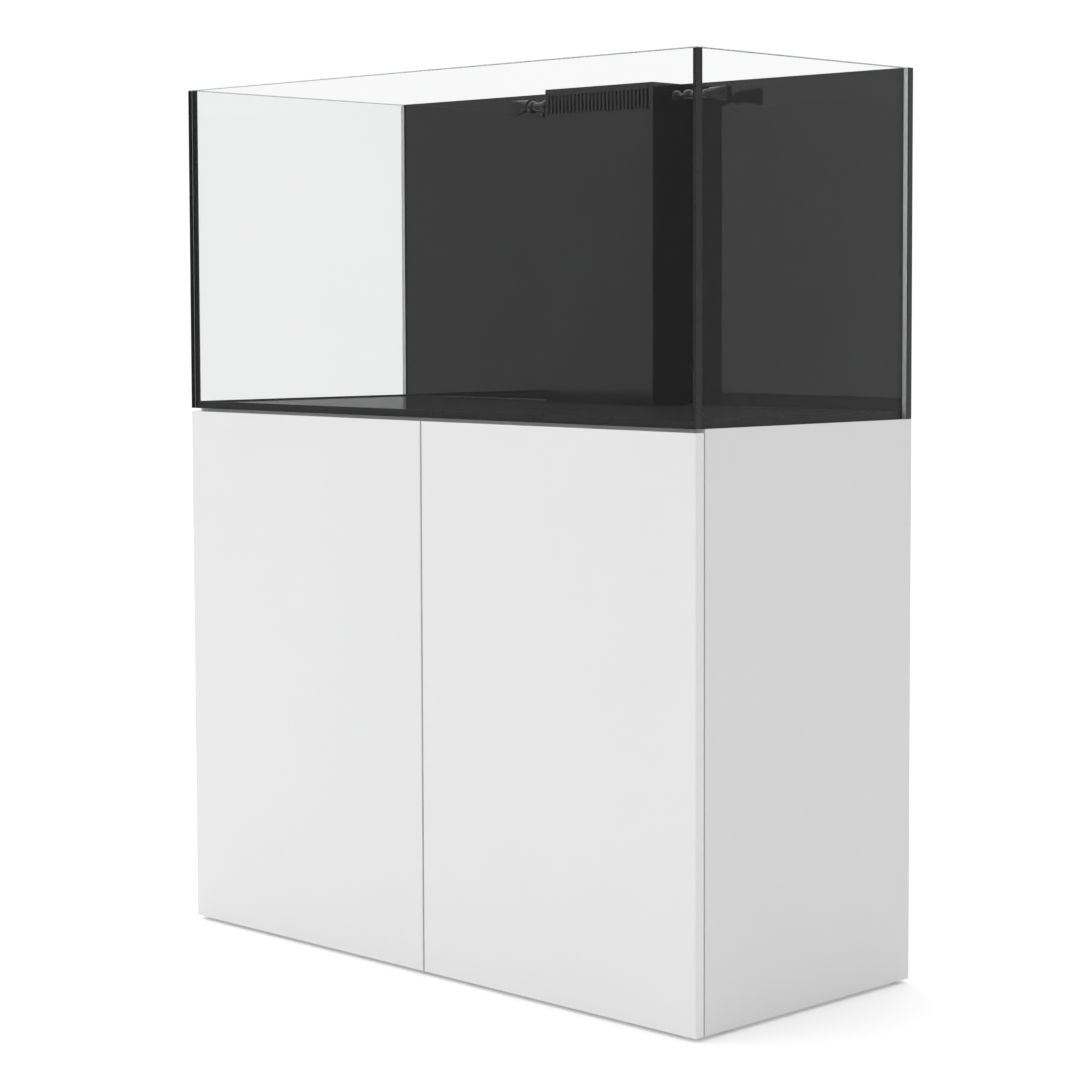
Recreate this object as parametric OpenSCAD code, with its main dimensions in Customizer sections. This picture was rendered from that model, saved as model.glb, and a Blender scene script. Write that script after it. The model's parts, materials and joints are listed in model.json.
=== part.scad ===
// Rimless glass aquarium with a rear weir box, standing on a two-door cabinet
// with its sump, pump and pipes inside. +Z is up, the front faces -Y, and the
// origin is on the floor under the middle of the cabinet. Millimetres.

/* [Tank] */
// Outside width of the tank and the cabinet
tank_w = 1200; // [1100:10:1300]
// Outside depth, front glass to back glass
tank_d = 500; // [480:5:540]
// Height of the glass walls
tank_h = 550; // [450:10:650]
// Thickness of the upright panes
glass_t = 12; // [10:1:15]
// Thickness of the floor pane
floor_t = 10; // [8:1:15]
// Thickness of the silicone bond between panes
bond_t = 1.5; // [1:0.5:2]
// Leg of the silicone beads inside the corners
bead_leg = 2; // [1.5:0.5:4]

/* [Weir box] */
// Width of the weir box
box_w = 256; // [240:2:300]
// Depth of the weir box, from the back glass
box_d = 82; // [80:1:100]
// Wall thickness of the weir box
box_wall = 5; // [4:0.5:6]
// Number of slots in the comb
slot_count = 27; // [15:1:27]
// Distance between slot centres
slot_pitch = 9; // [7:0.5:9]
// Width of one slot
slot_w = 4.5; // [3:0.5:5]
// Height of one slot
slot_h = 33; // [20:1:35]

/* [Return nozzles] */
// Height of the nozzle axis below the rim
nozzle_drop = 26; // [24:1:40]
// Distance of the nozzle tip from the middle of the tank
nozzle_reach = 254; // [240:1:280]
// Height of the flared nozzle mouth
mouth_h = 27; // [20:1:32]
// Width of the flared nozzle mouth
mouth_w = 11; // [9:1:16]

/* [Cabinet] */
// Height of the cabinet without its glides
cab_h = 895; // [800:5:950]
// Thickness of the cabinet boards and the doors
board_t = 18; // [18:1:19]
// Thickness of the board under the tank
top_t = 25; // [22:1:30]
// Gap between the door and the cabinet behind it
door_gap = 2; // [2:0.5:3]
// Gap above the doors, under the tank
door_top_gap = 5.5; // [4:0.5:8]
// Gap between the two doors
door_split = 3.5; // [3:0.5:5]
// Height of the floor glides
glide_h = 6; // [5:1:10]

/* [Plumbing] */
// Outside diameter of the drain pipes
drain_pipe_d = 32; // [30:1:32]
// Outside diameter of the return pipe
return_pipe_d = 25; // [22:1:28]
// Distance between neighbouring bulkheads
bulkhead_pitch = 75; // [72:1:78]

/* [Sump] */
// Outside width of the sump
sump_w = 800; // [760:10:840]
// Outside depth of the sump
sump_d = 380; // [360:5:385]
// Height of the sump
sump_h = 350; // [320:10:400]
// Thickness of the sump glass
sump_t = 6; // [5:1:8]

/* [Hidden] */
$fn = 48;
eps = 0.01;

// Main planes
front_y = -tank_d / 2;
rear_y = tank_d / 2;
side_x = tank_w / 2;
tank_z = glide_h + cab_h;
rim_z = tank_z + tank_h;
floor_z = tank_z + floor_t;
inner_x = side_x - glass_t;
inner_y = tank_d / 2 - glass_t;
carcass_y = front_y + board_t + door_gap;
carcass_x = side_x - board_t;
top_z = tank_z - top_t;
base_z = glide_h + board_t;
back_t = 16;
back_y = rear_y - back_t;

// Weir box
box_x = box_w / 2;
box_y = inner_y - box_d;
box_top = rim_z - 1.5;
comb_left = -box_x + box_wall + 1;
comb_right = comb_left + slot_count * slot_pitch - 2.5;
slot_top = box_top - 10.5;
slot_low = slot_top - slot_h;
comb_low = slot_low - 3;
comb_play = 0.3;
pipe_y = box_y + box_wall + (box_d - box_wall) / 2;

// Bulkheads in the floor of the weir box
bulkhead_x = [-bulkhead_pitch, 0, bulkhead_pitch];
hole_r = 21;
collar_r = 20;
flange_r = 31;
gasket_t = 3;
flange_t = 6;
bulkhead_low = tank_z - 56;
drain_r = drain_pipe_d / 2;
return_r = return_pipe_d / 2;
pipe_wall = 3;

// Return nozzles
nozzle_z = rim_z - nozzle_drop;
ball_r = 9.2;
socket_r = 9.5;
shell_r = 11.8;
neck_r = 6;
bore_r = 4;
first_ball = box_x + 12;
second_ball = first_ball + 29;
tube_end_r = 8;
ring_x = box_x + 76;
ring_r = 11;
flare_x = box_x + 84;
flare_r = 10;
flare_rise = 3;

// Cup hinges, given for the right-hand door
hinge_x = side_x - 7;
hinge_y = front_y + 6.8;
cup_x = side_x - 20.5;
cup_r = 17.5;
cup_in_r = 16.5;
cup_floor_y = front_y + 3.8;
cup_bed = 0.6;
pin_r = 1;
pin_half = 9.7;
eye_r = 2;
eye_half = 4.5;
hinge_z = [glide_h + 110, glide_h + cab_h / 2, glide_h + cab_h - 110];
door_back_y = front_y + board_t;
door_top = tank_z - door_top_gap;
edge_r = 1.5;

// Mounting plates of the hinges, and the bent nose of the arms
plate_y = [hinge_y + 30, hinge_y + 76];
plate_wing = 24;
nose_path = [[0, 0], [-13, 0], [-17.5, 4.5], [-18.5, 13], [-18.5, 24]];
nose_t = 1.8;

// Rail, cams, cable ports and glides of the cabinet
rail_h = 60;
cam_r = 7.5;
cam_h = 12;
cam_x = carcass_x - 34;
cam_y = [-170, 0, 150];
grommet_r = 30;
grommet_x = 470;
grommet_z = 520;
glide_r = 12;
glide_places = [
    [-side_x + 26, front_y + 77], [side_x - 26, front_y + 77],
    [-side_x + 26, rear_y - 18], [side_x - 26, rear_y - 18],
    [0, front_y + 34], [0, rear_y - 18]];

// Push latches in the rail
latch_x = 45;
latch_z = top_z - 28;
latch_r = 6;
plunger_r = 4;
latch_fit = 0.06;
plunger_front = door_back_y + 0.2;

// Sump and what stands in it
sump_y0 = back_y - 19 - sump_d;
sump_y1 = back_y - 19;
sump_x = sump_w / 2;
sump_bond = 1;
sump_z = base_z;
sump_top = base_z + sump_h;
sock_x = -sump_x + 75;
sock_y = sump_y1 - 75;
sock_r = 50;
sock_top = sump_top - 12;
shelf_t = 8;
baffle_x = [-sump_x + 160, sump_x - 250, sump_x - 215, sump_x - 180];
pump_x = sump_x - 95;
pump_y = sump_y1 - 110;
pump_low = base_z + sump_t + 14;
pump_axis_z = pump_low + 50;
pump_r = 42;

// Pipe runs inside the cabinet
drain_turn_z = 640;
spill_turn_z = 540;
return_turn_z = 600;
spill_x = -sump_x + 145;
spill_y = sump_y1 - 35;
drain_route = [
    [-bulkhead_pitch, pipe_y, tank_z - 40], [-bulkhead_pitch, pipe_y, drain_turn_z],
    [sock_x, pipe_y, drain_turn_z], [sock_x, sock_y, drain_turn_z], [sock_x, sock_y, sump_top + 90]];
spill_route = [
    [0, pipe_y, tank_z - 40], [0, pipe_y, spill_turn_z], [spill_x, pipe_y, spill_turn_z],
    [spill_x, spill_y, spill_turn_z], [spill_x, spill_y, sump_top - 90]];
return_route = [
    [bulkhead_pitch, pipe_y, tank_z - 40], [bulkhead_pitch, pipe_y, return_turn_z],
    [pump_x, pipe_y, return_turn_z], [pump_x, pump_y, return_turn_z], [pump_x, pump_y, pump_low + 118]];

// Gate valve on the drain
valve_z = 745;
valve_half = 26;
knob_y = pipe_y - 62;
gate_t = 8;
gate_w = 30;
gate_end = pipe_y - 13.5;
stem_r = 2.5;

// ---------- shared shapes ----------

// Block between two values on each axis
module block(x, y, z) {
    translate([x[0], y[0], z[0]]) cube([x[1] - x[0], y[1] - y[0], z[1] - z[0]]);
}

// Cylinder from point p to point q
module rod(p, q, r) {
    d = q - p;
    length = norm(d);
    translate(p)
        rotate([0, acos(d[2] / length), atan2(d[1], d[0])])
            cylinder(h = length, r = r);
}

// Cylinder about an axis along Y
module rod_y(x, z, y, r) {
    rod([x, y[0], z], [x, y[1], z], r);
}

// Solid filling of a pipe route, with round elbows
module route(points, r) {
    for (i = [1 : len(points) - 1]) rod(points[i - 1], points[i], r);
    for (i = [1 : len(points) - 2]) translate(points[i]) sphere(r = r);
}

// Pipe along a route, with an elbow fitting on every bend
module pipe_run(points, r) {
    sleeve = 2.5;
    reach = r + 14;
    last = len(points) - 1;
    difference() {
        union() {
            route(points, r);
            for (i = [1 : last - 1]) {
                back = points[i - 1] - points[i];
                ahead = points[i + 1] - points[i];
                translate(points[i]) sphere(r = r + sleeve);
                for (leg = [back, ahead])
                    rod(points[i], points[i] + leg * min(reach / norm(leg), 0.5), r + sleeve);
            }
        }
        route(points, r - pipe_wall);
        rod(points[0], points[0] + (points[0] - points[1]) / 100, r - pipe_wall);
        rod(points[last], points[last] + (points[last] - points[last - 1]) / 100, r - pipe_wall);
    }
}

// Draws its children as they are for side 1, and mirrored for side -1
module on_side(side) {
    mirror([side < 0 ? 1 : 0, 0, 0]) children();
}

// Hollowed bead of silicone along Z in a corner that opens towards +X +Y
module bead(length, leg) {
    difference() {
        cube([leg, leg, length]);
        translate([leg, leg, -1]) cylinder(h = length + 2, r = leg - 0.4);
    }
}

// ---------- tank ----------

module front_pane() {
    color("lightcyan", 0.35) block([-side_x, side_x], [front_y, -inner_y], [tank_z, rim_z]);
}

module back_pane() {
    color([0.08, 0.08, 0.09]) block([-side_x, side_x], [inner_y, rear_y], [tank_z, rim_z]);
}

module side_pane(side) {
    end_y = inner_y - bond_t;
    on_side(side) block([inner_x, side_x], [-end_y, end_y], [tank_z, rim_z]);
}

module left_pane() {
    color("lightcyan", 0.35) side_pane(-1);
}

module right_pane() {
    color("lightcyan", 0.35) side_pane(1);
}

module bottom_pane() {
    x = inner_x - bond_t;
    y = inner_y - bond_t;
    color([0.1, 0.1, 0.11]) difference() {
        block([-x, x], [-y, y], [tank_z, floor_z]);
        for (hole_x = bulkhead_x)
            translate([hole_x, pipe_y, tank_z - 1]) cylinder(h = floor_t + 2, r = hole_r);
    }
}

// Bond between a side pane's end and the front pane, with the bead inside
// from the top of the floor beads up
module upright_seam() {
    seam_top = rim_z - 0.5;
    bead_low = floor_z + bead_leg;
    block([inner_x, side_x], [-inner_y, -inner_y + bond_t], [tank_z, seam_top]);
    translate([inner_x, -inner_y, bead_low]) mirror([1, 0, 0]) bead(seam_top - bead_low, bead_leg);
}

module front_seams() {
    color([0.05, 0.05, 0.05]) for (side = [-1, 1]) on_side(side) upright_seam();
}

module rear_seams() {
    color([0.05, 0.05, 0.05]) for (side = [-1, 1]) on_side(side) mirror([0, 1, 0]) upright_seam();
}

// Straight bead on the floor from x[0] to x[1], against the wall at y = -inner_y
module floor_bead(x) {
    translate([x[1], -inner_y, floor_z]) rotate([0, -90, 0]) bead(x[1] - x[0], bead_leg);
}

module floor_seam() {
    x = inner_x;
    y = inner_y;
    color([0.05, 0.05, 0.05]) {
        difference() {
            block([-x, x], [-y, y], [tank_z, floor_z]);
            block([-x + bond_t, x - bond_t], [-y + bond_t, y - bond_t], [tank_z - 1, floor_z + 1]);
        }
        floor_bead([-x, x]);
        for (side = [-1, 1]) on_side(side) {
            mirror([0, 1, 0]) floor_bead([box_x, x]);
            translate([x, y, floor_z]) rotate([90, 0, 0]) mirror([1, 0, 0]) bead(2 * y, bead_leg);
        }
    }
}

// ---------- weir box ----------

module overflow_box() {
    color([0.09, 0.09, 0.1]) difference() {
        block([-box_x, box_x], [box_y, inner_y], [floor_z, box_top]);
        block([-box_x + box_wall, box_x - box_wall], [box_y + box_wall, inner_y + 1],
              [floor_z - 1, box_top + 1]);
        block([comb_left, comb_right], [box_y - 1, box_y + box_wall + eps], [comb_low, box_top + 1]);
        rod([-box_x - 1, pipe_y, nozzle_z], [box_x + 1, pipe_y, nozzle_z], 10.2);
    }
}

module weir_comb() {
    lip_t = 3;
    lip_y = box_y + box_wall + comb_play;
    color([0.06, 0.06, 0.06]) {
        difference() {
            block([comb_left + comb_play, comb_right - comb_play], [box_y, lip_y],
                  [comb_low + comb_play, box_top]);
            for (i = [0 : slot_count - 1])
                block([comb_left + i * slot_pitch + 1.5, comb_left + i * slot_pitch + 1.5 + slot_w],
                      [box_y - 1, lip_y + 1], [slot_low, slot_top]);
        }
        block([comb_left + 4, comb_right - 4], [lip_y, lip_y + lip_t], [comb_low - 10, slot_low - 1]);
    }
}

// Pipe standing in a bulkhead up to the given height
module standpipe(x, top, r) {
    difference() {
        rod([x, pipe_y, tank_z + 5], [x, pipe_y, top], r);
        rod([x, pipe_y, tank_z], [x, pipe_y, top + 1], r - pipe_wall);
    }
}

module drain_standpipe() {
    top = comb_low - 48;
    x = -bulkhead_pitch;
    cap_r = drain_r + 5;
    slots = 10;
    color("dimgray") {
        standpipe(x, top, drain_r);
        difference() {
            rod([x, pipe_y, top - 12], [x, pipe_y, top + 34], cap_r);
            rod([x, pipe_y, top - 13], [x, pipe_y, top + 30], cap_r - 3);
            for (i = [0 : slots - 1])
                translate([x, pipe_y, top + 6]) rotate([0, 0, i * 360 / slots])
                    translate([cap_r - 6, -2.5, 0]) cube([10, 5, 20]);
        }
        difference() {
            rod([x, pipe_y, top - 12], [x, pipe_y, top - 2], cap_r - 2);
            rod([x, pipe_y, top - 13], [x, pipe_y, top - 1], drain_r - eps);
        }
    }
}

module emergency_standpipe() {
    color("dimgray") standpipe(0, comb_low - 22, drain_r);
}

module return_riser() {
    x = bulkhead_pitch;
    end_x = box_x - box_wall - 11;
    color("dimgray") difference() {
        union() {
            rod([x, pipe_y, tank_z + 5], [x, pipe_y, nozzle_z], return_r);
            rod([x, pipe_y, nozzle_z - 30], [x, pipe_y, nozzle_z], return_r + 2.5);
            rod([-end_x, pipe_y, nozzle_z], [end_x, pipe_y, nozzle_z], return_r);
            rod([x - 30, pipe_y, nozzle_z], [end_x, pipe_y, nozzle_z], return_r + 2.5);
            rod([-end_x, pipe_y, nozzle_z], [-end_x + 24, pipe_y, nozzle_z], return_r + 2.5);
        }
        rod([x, pipe_y, tank_z], [x, pipe_y, nozzle_z], return_r - pipe_wall);
        rod([-end_x - 1, pipe_y, nozzle_z], [end_x + 1, pipe_y, nozzle_z], return_r - pipe_wall);
    }
}

// Bulkhead body: flange over the gasket, stem through the glass, socket below
module bulkhead(pipe_r) {
    translate([0, pipe_y, 0]) difference() {
        union() {
            translate([0, 0, floor_z + gasket_t]) cylinder(h = flange_t, r = flange_r);
            translate([0, 0, bulkhead_low]) cylinder(h = floor_z + gasket_t - bulkhead_low, r = collar_r);
        }
        translate([0, 0, tank_z + 5]) cylinder(h = 40, r = pipe_r + 0.05);
        translate([0, 0, bulkhead_low - 1]) cylinder(h = 100, r = pipe_r - pipe_wall);
        translate([0, 0, bulkhead_low - 1]) cylinder(h = tank_z - 40 - bulkhead_low + 1, r = pipe_r + 0.05);
    }
}

module bulkheads() {
    color("darkslategray") for (i = [0 : 2])
        translate([bulkhead_x[i], 0, 0]) bulkhead(i == 2 ? return_r : drain_r);
}

module bulkhead_gaskets() {
    color("black") for (x = bulkhead_x) translate([x, pipe_y, floor_z]) difference() {
        cylinder(h = gasket_t, r = flange_r - 2);
        translate([0, 0, -1]) cylinder(h = gasket_t + 2, r = collar_r + 0.1);
    }
}

module bulkhead_nuts() {
    nut_h = 14;
    color("darkslategray") for (x = bulkhead_x) translate([x, pipe_y, tank_z - nut_h]) difference() {
        cylinder(h = nut_h, r = 33, $fn = 6);
        translate([0, 0, -1]) cylinder(h = nut_h + 2, r = collar_r + 0.1);
    }
}

// ---------- return nozzles, drawn for the right side ----------

// Solid turned about the nozzle axis; in the flat outline x is the radius and
// y the distance from the middle of the tank
module turned() {
    translate([0, pipe_y, nozzle_z]) rotate([0, 90, 0]) rotate_extrude() intersection() {
        children();
        translate([0, -tank_w]) square([tank_w, 2 * tank_w]);
    }
}

// Outline of a plain stretch with the given radii, from distance x[0] to x[1]
module stretch(x, r, inner_r = 0) {
    translate([inner_r, x[0]]) square([r - inner_r, x[1] - x[0]]);
}

module ball_outline(x) {
    translate([0, x]) circle(r = ball_r);
}

// Outline of the shell round a ball, open towards the tank's middle
module socket_outline(x) {
    difference() {
        translate([0, x]) circle(r = shell_r);
        translate([0, x]) circle(r = socket_r);
        stretch([x - 30, x - 3.8], 20);
    }
}

module nozzle_base(side) {
    inside_x = box_x - box_wall;
    tube_r = return_r - pipe_wall - 0.05;
    on_side(side) {
        turned() difference() {
            union() {
                stretch([inside_x - 25, box_x + 3], tube_r);
                stretch([box_x, box_x + 3], 14);
                stretch([box_x + 3, first_ball], neck_r);
                ball_outline(first_ball);
            }
            stretch([0, first_ball + 20], bore_r);
        }
        difference() {
            rod([inside_x - 8, pipe_y, nozzle_z], [inside_x, pipe_y, nozzle_z], 16, $fn = 6);
            rod([inside_x - 9, pipe_y, nozzle_z], [inside_x + 1, pipe_y, nozzle_z], tube_r + 0.05);
        }
    }
}

module nozzle_link(side) {
    on_side(side) turned() difference() {
        union() {
            socket_outline(first_ball);
            stretch([first_ball + 10, second_ball], neck_r);
            ball_outline(second_ball);
        }
        stretch([first_ball, second_ball + 20], bore_r);
    }
}

// Thin slice of the flattened flare at distance x
module flare_slice(x, w, h) {
    translate([x, pipe_y - w / 2, nozzle_z - h / 2]) cube([0.2, w, h]);
}

// Flattened flare, level along its top, with its walls set in by the given amount
module flare(inset) {
    start_z = nozzle_z + flare_rise;
    hull() {
        rod([flare_x, pipe_y, start_z], [flare_x + 1, pipe_y, start_z], flare_r - inset, $fn = 32);
        flare_slice(nozzle_reach - 0.2, mouth_w - 2 * inset, mouth_h - 2 * inset);
    }
}

module nozzle_tip(side) {
    wall = 1.6;
    bore = tube_end_r - 3;
    on_side(side) difference() {
        union() {
            turned() {
                socket_outline(second_ball);
                stretch([second_ball + 10, ring_x], tube_end_r);
                translate([0, ring_x]) circle(r = ring_r);
            }
            flare(0);
        }
        turned() stretch([second_ball + 5, flare_x + 2], bore);
        flare(wall);
        flare_slice(nozzle_reach - 0.3, mouth_w - 2 * wall, mouth_h - 2 * wall);
    }
}

module left_nozzle_base() {
    color([0.12, 0.12, 0.12]) nozzle_base(-1);
}

module left_nozzle_link() {
    color([0.12, 0.12, 0.12]) nozzle_link(-1);
}

module left_nozzle_tip() {
    color([0.12, 0.12, 0.12]) nozzle_tip(-1);
}

module right_nozzle_base() {
    color([0.12, 0.12, 0.12]) nozzle_base(1);
}

module right_nozzle_link() {
    color([0.12, 0.12, 0.12]) nozzle_link(1);
}

module right_nozzle_tip() {
    color([0.12, 0.12, 0.12]) nozzle_tip(1);
}

// ---------- cabinet ----------

module side_panel(side) {
    on_side(side) block([carcass_x, side_x], [carcass_y, rear_y], [glide_h, tank_z]);
}

module left_side_panel() {
    color("white") side_panel(-1);
}

module right_side_panel() {
    color("white") side_panel(1);
}

// Cams sit in the top and bottom boards beside each side panel
module cams(r) {
    for (side = [-1, 1]) for (y = cam_y) {
        translate([side * cam_x, y, top_z - eps]) cylinder(h = cam_h + eps, r = r);
        translate([side * cam_x, y, base_z - cam_h]) cylinder(h = cam_h + eps, r = r);
    }
}

module top_panel() {
    notch_x = bulkhead_pitch + 42;
    color("white") difference() {
        block([-carcass_x, carcass_x], [carcass_y, back_y], [top_z, tank_z]);
        block([-notch_x, notch_x], [pipe_y - 40, back_y + 1], [top_z - 1, tank_z + 1]);
        cams(cam_r + 0.05);
    }
}

module bottom_panel() {
    color("white") difference() {
        block([-carcass_x, carcass_x], [carcass_y, back_y], [glide_h, base_z]);
        cams(cam_r + 0.05);
    }
}

module back_panel() {
    color("whitesmoke") difference() {
        block([-carcass_x, carcass_x], [back_y, rear_y], [glide_h, tank_z]);
        for (side = [-1, 1]) rod_y(side * grommet_x, grommet_z, [back_y - 1, rear_y + 1], grommet_r);
    }
}

module cable_grommets() {
    color("lightgray") for (side = [-1, 1]) difference() {
        union() {
            rod_y(side * grommet_x, grommet_z, [back_y - 3, back_y], grommet_r + 5);
            rod_y(side * grommet_x, grommet_z, [back_y - 1, rear_y - 1], grommet_r - 0.1);
        }
        rod_y(side * grommet_x, grommet_z, [back_y - 4, rear_y + 1], grommet_r - 3);
    }
}

module front_rail() {
    color("white") difference() {
        block([-carcass_x, carcass_x], [carcass_y, carcass_y + board_t], [top_z - rail_h, top_z]);
        for (side = [-1, 1])
            rod_y(side * latch_x, latch_z, [carcass_y - 1, carcass_y + board_t + 1], latch_r + 0.05);
    }
}

module centre_post() {
    post_w = 60;
    color("white") block([-post_w / 2, post_w / 2], [carcass_y, carcass_y + board_t],
                         [base_z, top_z - rail_h]);
}

module cam_locks() {
    slot = 1.6;
    color("silver") difference() {
        cams(cam_r);
        for (side = [-1, 1]) for (y = cam_y) {
            translate([side * cam_x - 5, y - slot / 2, top_z - 1]) cube([10, slot, 3]);
            translate([side * cam_x - slot / 2, y - 5, top_z - 1]) cube([slot, 10, 3]);
            translate([side * cam_x - 5, y - slot / 2, base_z - 2]) cube([10, slot, 3]);
            translate([side * cam_x - slot / 2, y - 5, base_z - 2]) cube([slot, 10, 3]);
        }
    }
}

// Round glides under the cabinet: corners and middle
module floor_glides() {
    color([0.2, 0.2, 0.2]) for (p = glide_places) translate([p[0], p[1], 0]) {
        cylinder(h = 1.5, r1 = glide_r - 1, r2 = glide_r);
        translate([0, 0, 1.5]) cylinder(h = glide_h - 1.5, r = glide_r);
    }
}

module door_bumpers() {
    bumper_h = door_gap - 0.4;
    color("gainsboro") for (side = [-1, 1]) for (z = [glide_h + 9, top_z - rail_h + 10])
        rod_y(side * 120, z, [carcass_y - bumper_h, carcass_y], 4);
}

// ---------- doors and cup hinges, drawn for the right side ----------

// Cuts a vertical outside corner at the given place to a round edge
module round_edge(x, y, sx, sy) {
    translate([x, y, 0]) mirror([sx < 0 ? 1 : 0, 0, 0]) mirror([0, sy < 0 ? 1 : 0, 0])
        difference() {
            translate([-edge_r, -edge_r, glide_h - 1]) cube([edge_r + 1, edge_r + 1, cab_h + 2]);
            translate([-edge_r, -edge_r, glide_h - 2]) cylinder(h = cab_h + 4, r = edge_r);
        }
}

module door(side) {
    inner_edge = door_split / 2;
    on_side(side) difference() {
        block([inner_edge, side_x], [front_y, door_back_y], [glide_h, door_top]);
        round_edge(side_x, door_back_y, 1, 1);
        round_edge(side_x, front_y, 1, -1);
        round_edge(inner_edge, front_y, -1, -1);
        for (z = hinge_z) rod_y(cup_x, z, [cup_floor_y, door_back_y + 1], cup_r);
    }
}

module hinge_cups(side) {
    flange_y = door_back_y + 1.2;
    on_side(side) for (z = hinge_z) difference() {
        union() {
            rod_y(cup_x, z, [cup_floor_y, door_back_y], cup_r);
            block([side_x - 38, side_x - 10], [door_back_y, flange_y], [z - 26, z + 26]);
            for (dz = [-21, 21]) rod_y(side_x - 29.5, z + dz, [door_back_y, flange_y + 1], 3.5);
        }
        rod_y(cup_x, z, [cup_floor_y + cup_bed, flange_y + 1], cup_in_r);
        rod([hinge_x, hinge_y, z - pin_half], [hinge_x, hinge_y, z + pin_half], pin_r);
    }
}

module hinge_pins(side) {
    on_side(side) for (z = hinge_z)
        rod([hinge_x, hinge_y, z - pin_half], [hinge_x, hinge_y, z + pin_half], pin_r);
}

// Bent nose of the arm, from the pin out through the mouth of the cup
module nose_outline() {
    for (i = [1 : len(nose_path) - 1]) {
        d = nose_path[i] - nose_path[i - 1];
        translate(nose_path[i - 1]) rotate(atan2(d[1], d[0]))
            translate([0, -nose_t / 2]) square([norm(d), nose_t]);
        translate(nose_path[i]) circle(d = nose_t);
    }
    circle(r = eye_r);
}

module hinge_arms(side) {
    arm_x = [hinge_x - 22, side_x - board_t - 3];
    on_side(side) for (z = hinge_z) difference() {
        union() {
            translate([hinge_x, hinge_y, z - eye_half]) linear_extrude(2 * eye_half) nose_outline();
            block(arm_x, [hinge_y + 21, hinge_y + 84], [z - 6.5, z + 6.5]);
        }
        translate([hinge_x, hinge_y, z - 20]) cylinder(h = 40, r = pin_r + 0.05);
        block([arm_x[0] - 1, arm_x[0] + 1.5], [hinge_y + 34, hinge_y + 74], [z - 3.2, z + 3.2]);
    }
}

module left_door() {
    color("white") door(-1);
}

module right_door() {
    color("white") door(1);
}

module left_hinge_cups() {
    color("silver") hinge_cups(-1);
}

module right_hinge_cups() {
    color("silver") hinge_cups(1);
}

module left_hinge_pins() {
    color("gray") hinge_pins(-1);
}

module right_hinge_pins() {
    color("gray") hinge_pins(1);
}

module left_hinge_arms() {
    color("silver") hinge_arms(-1);
}

module right_hinge_arms() {
    color("silver") hinge_arms(1);
}

module hinge_plates() {
    color("silver") for (side = [-1, 1]) on_side(side) for (z = hinge_z) {
        block([carcass_x - 3, carcass_x], plate_y, [z - 8, z + 8]);
        block([carcass_x - 2, carcass_x], [plate_y[0] + 15, plate_y[1] - 15],
              [z - plate_wing, z + plate_wing]);
    }
}

module hinge_screws() {
    y = (plate_y[0] + plate_y[1]) / 2;
    color("gray") for (side = [-1, 1]) on_side(side) for (z = hinge_z) for (dz = [-17, 17])
        difference() {
            rod([carcass_x - 3.5, y, z + dz], [carcass_x - 2, y, z + dz], 3.6);
            translate([carcass_x - 4, y - 2.4, z + dz - 0.5]) cube([1.2, 4.8, 1]);
        }
}

// ---------- push latches ----------

module latch_housings() {
    color("gainsboro") for (side = [-1, 1]) difference() {
        rod_y(side * latch_x, latch_z, [carcass_y, carcass_y + 66], latch_r);
        rod_y(side * latch_x, latch_z, [carcass_y - 1, carcass_y + 60], plunger_r + latch_fit);
    }
}

module plunger(side) {
    rod_y(side * latch_x, latch_z, [plunger_front, carcass_y + 50], plunger_r);
}

module left_latch_plunger() {
    color("dimgray") plunger(-1);
}

module right_latch_plunger() {
    color("dimgray") plunger(1);
}

// ---------- plumbing in the cabinet ----------

module drain_line() {
    color("dimgray") difference() {
        pipe_run(drain_route, drain_r);
        translate([-bulkhead_pitch, pipe_y, valve_z - valve_half]) cylinder(h = 2 * valve_half, r = 30);
    }
}

module emergency_line() {
    color("dimgray") pipe_run(spill_route, drain_r);
}

module return_line() {
    union_z = 720;
    color("dimgray") {
        pipe_run(return_route, return_r);
        translate([bulkhead_pitch, pipe_y, union_z]) difference() {
            translate([0, 0, -18]) cylinder(h = 36, r = return_r + 11);
            translate([0, 0, -19]) cylinder(h = 38, r = return_r - eps);
            for (i = [0 : 7]) rotate([0, 0, i * 45])
                translate([return_r + 9.5, -3, -12]) cube([4, 6, 24]);
        }
    }
}

module gate_valve() {
    x = -bulkhead_pitch;
    way_w = gate_w + 0.6;
    way_t = gate_t + 0.6;
    color([0.25, 0.25, 0.27]) difference() {
        union() {
            rod([x, pipe_y, valve_z - valve_half], [x, pipe_y, valve_z + valve_half], drain_r + 5);
            block([x - gate_w / 2 - 5, x + gate_w / 2 + 5], [pipe_y - 46, pipe_y + 19],
                  [valve_z - 9, valve_z + 9]);
        }
        rod([x, pipe_y, valve_z - valve_half - 1], [x, pipe_y, valve_z + valve_half + 1],
            drain_r - pipe_wall);
        block([x - way_w / 2, x + way_w / 2], [pipe_y - 42, pipe_y + 15],
              [valve_z - way_t / 2, valve_z + way_t / 2]);
        rod_y(x, valve_z, [pipe_y - 60, pipe_y - 40], stem_r + 0.1);
    }
}

module valve_knob() {
    x = -bulkhead_pitch;
    grips = 12;
    color("firebrick") {
        difference() {
            rod_y(x, valve_z, [knob_y - 14, knob_y + 6], 22);
            for (i = [0 : grips - 1])
                translate([x, knob_y, valve_z]) rotate([0, i * 360 / grips, 0])
                    rod([24, -15, 0], [24, 7, 0], 4);
        }
        rod_y(x, valve_z, [knob_y + 6, gate_end - 1.5], stem_r);
    }
}

// Gate blade, drawn open: clear of the bore, at the knob's end of its slot
module valve_gate() {
    x = -bulkhead_pitch;
    color("whitesmoke") difference() {
        block([x - gate_w / 2, x + gate_w / 2], [pipe_y - 41, gate_end],
              [valve_z - gate_t / 2, valve_z + gate_t / 2]);
        rod_y(x, valve_z, [pipe_y - 42, gate_end - 1], stem_r + 0.05);
    }
}

// ---------- sump ----------

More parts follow.
